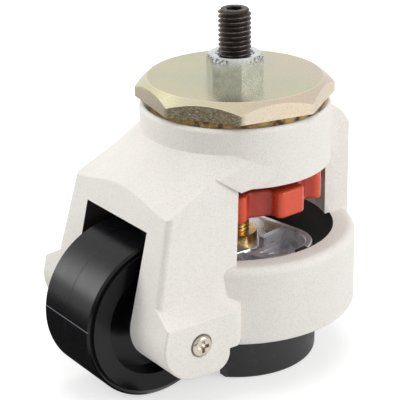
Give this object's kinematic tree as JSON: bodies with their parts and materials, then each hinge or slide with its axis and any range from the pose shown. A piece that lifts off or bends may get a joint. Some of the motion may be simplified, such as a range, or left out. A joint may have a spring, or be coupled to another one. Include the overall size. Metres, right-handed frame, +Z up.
{
  "type": "levelling castor",
  "caption": "Stem-mounted levelling castor: swivelling cast housing, trailing nylon wheel and a thumbwheel-driven rubber foot that lifts the wheel off the floor.",
  "frame": {"origin": "on the floor under the swivel axis, at the centre of the foot's sole", "axes": "+Z up along the swivel axis and the threaded stem, wheel trailing towards -X, wheel axle along Y"},
  "size_m": [0.1213, 0.0902, 0.1344],
  "materials": {
    "ivory_powder_coat": "fine textured powder coat",
    "yellow_zinc": "yellow passivated zinc",
    "dark_steel": "oiled dark steel",
    "bright_zinc": "bright zinc",
    "nickel_steel": "nickel plate",
    "plain_steel": "ground steel",
    "ball_steel": "polished",
    "cast_aluminium": "as cast",
    "bronze": "turned",
    "red_plastic": "moulded",
    "black_rubber": "matt",
    "black_nylon": "satin moulded"
  },
  "bodies": {
    "head": {"swivel_plate": "yellow_zinc", "threaded_stem": "dark_steel", "stem_nut": "bright_zinc", "king_bolt_spacer": "plain_steel", "upper_race": "plain_steel", "lower_race": "plain_steel", "dust_ring": "yellow_zinc", "lower_balls": "ball_steel"},
    "housing": {"housing": "ivory_powder_coat", "seat_ring": "plain_steel", "upper_balls": "ball_steel", "bearing_cover": "cast_aluminium", "cover_screws": "bright_zinc", "axle": "plain_steel", "axle_screw_right": "nickel_steel", "axle_screw_left": "nickel_steel", "axle_spacer_right": "plain_steel", "axle_spacer_left": "plain_steel"},
    "leveller": {"thumbwheel": "red_plastic", "spindle": "yellow_zinc", "drive_pin": "plain_steel", "spindle_clip": "plain_steel", "thrust_washer": "bronze"},
    "foot": {"foot_bracket": "cast_aluminium", "spindle_bush": "bronze", "foot_pad": "black_rubber", "pad_screws": "bright_zinc"},
    "wheel": {"wheel": "black_nylon", "wheel_sleeve": "plain_steel"}
  },
  "joints": [
    {"name": "swivel", "type": "hinge", "parent": "head", "child": "housing", "pos_m": [0, 0, 0.09], "axis": [0, 0, 1], "continuous": true},
    {"name": "wheel_roll", "type": "hinge", "parent": "housing", "child": "wheel", "pos_m": [-0.0462, 0, 0.03], "axis": [0, 1, 0], "continuous": true},
    {"name": "levelling_turn", "type": "hinge", "parent": "housing", "child": "leveller", "pos_m": [0, 0, 0.068], "axis": [0, 0, 1], "range_deg": [-1810, 2170]},
    {"name": "foot_slide", "type": "slide", "parent": "housing", "child": "foot", "axis": [0, 0, 1], "range_m": [-0.009, 0.0075]}
  ],
  "couplings": [
    {"joint": "levelling_turn", "follows": "foot_slide", "rad_per_m": -4188.8}
  ]
}
